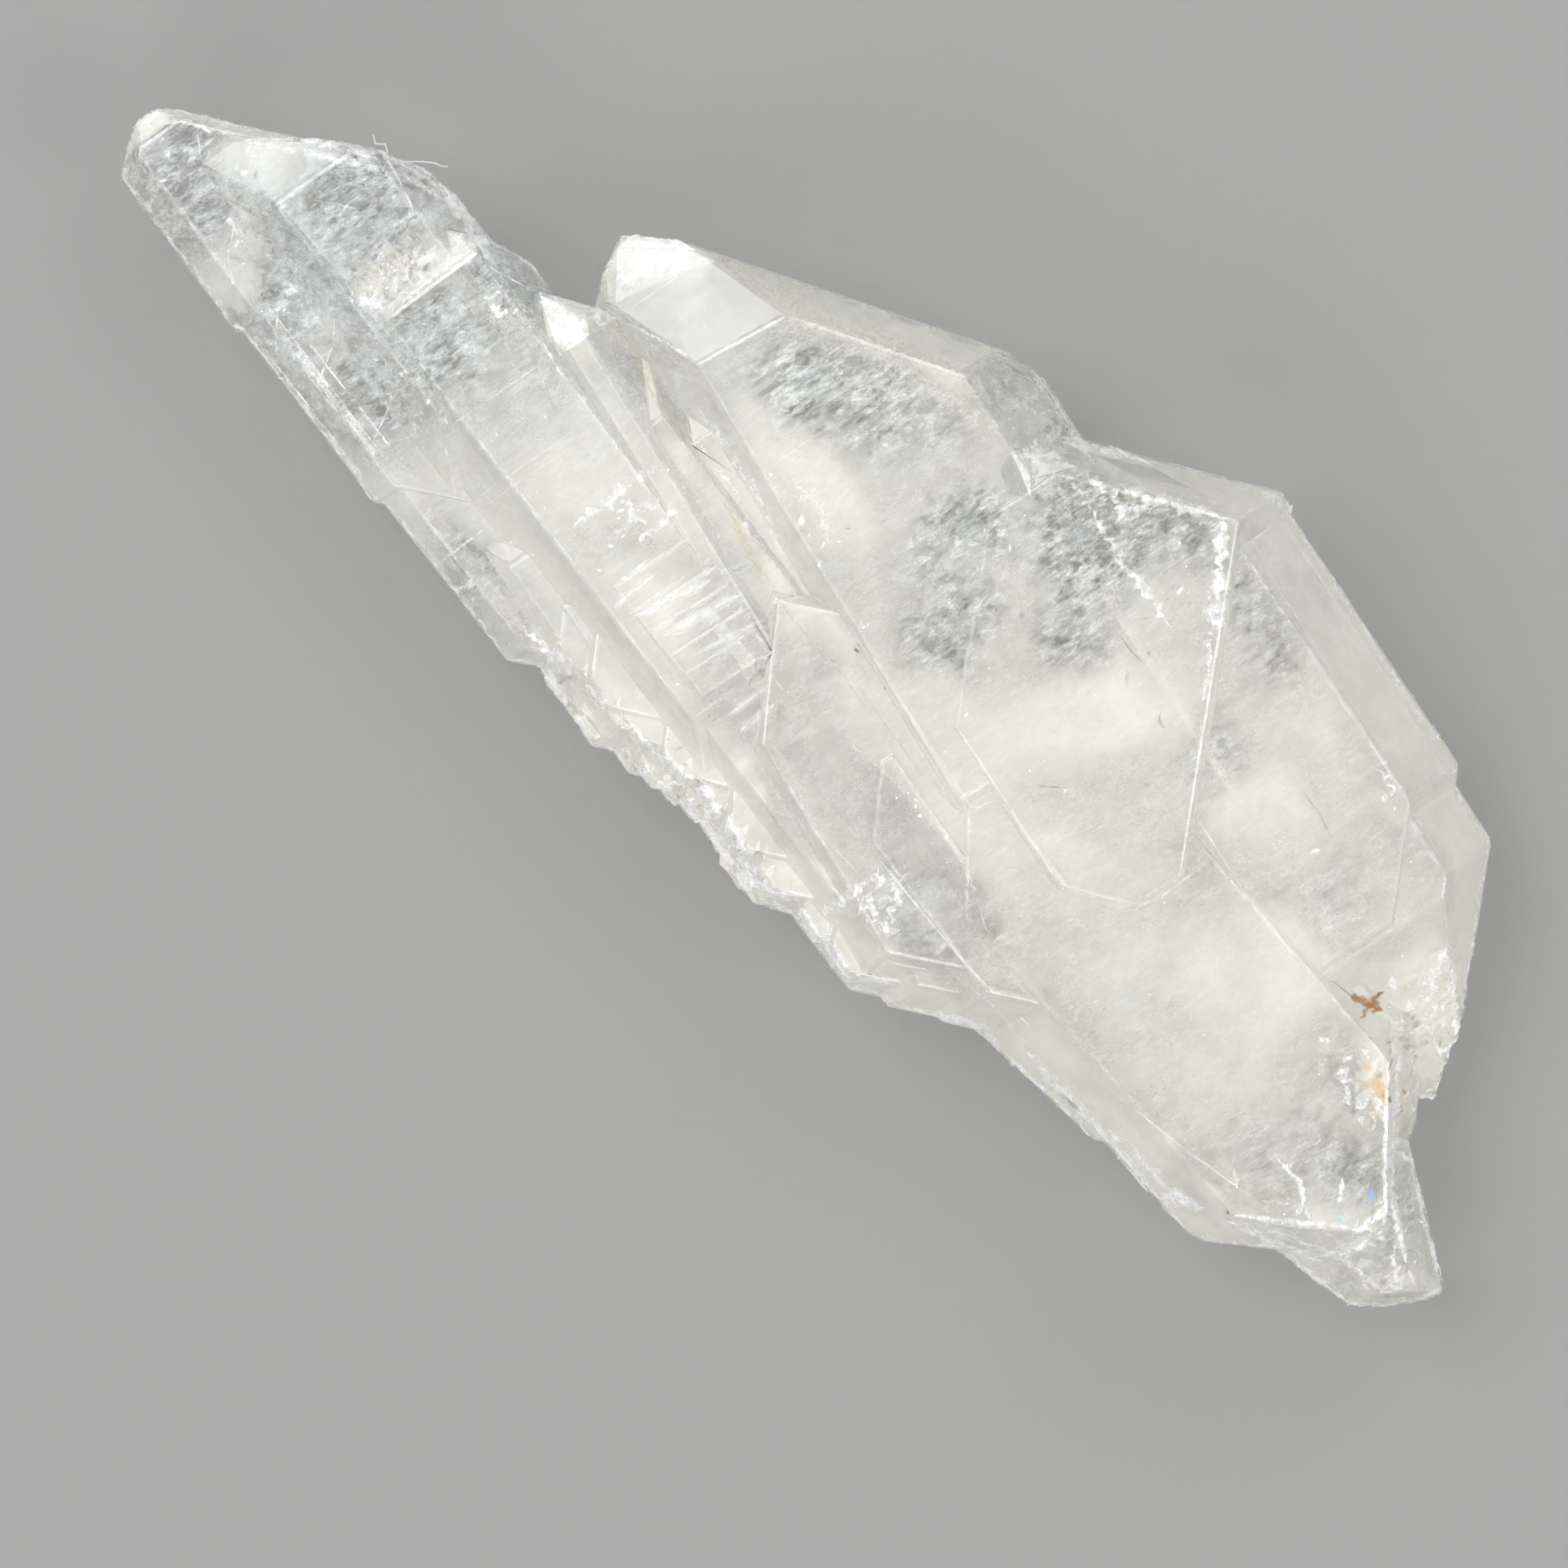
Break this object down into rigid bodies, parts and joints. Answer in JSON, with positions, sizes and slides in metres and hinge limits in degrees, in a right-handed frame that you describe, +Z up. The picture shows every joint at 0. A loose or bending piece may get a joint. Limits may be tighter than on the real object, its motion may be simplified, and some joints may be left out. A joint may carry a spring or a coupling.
{
  "type": "faden quartz",
  "caption": "Flat cluster of clear to milky quartz crystals grown side by side, pointed at both ends, which lies on its broad back face.",
  "frame": {"origin": "the middle of the cluster's box, on the surface that it rests on", "axes": "+X along the crystals' c axis, from the long thin point to the broken point; +Y across the plate, towards the broad crystals; +Z up, out of the front faces"},
  "size_m": [0.0504, 0.024, 0.0071],
  "materials": {
    "quartz": "natural crystal faces, clear at the edges and milky inside, with fine growth lines, healed cracks and small rust stains"
  },
  "bodies": {
    "root": {"quartz_cluster": "quartz"}
  },
  "joints": []
}
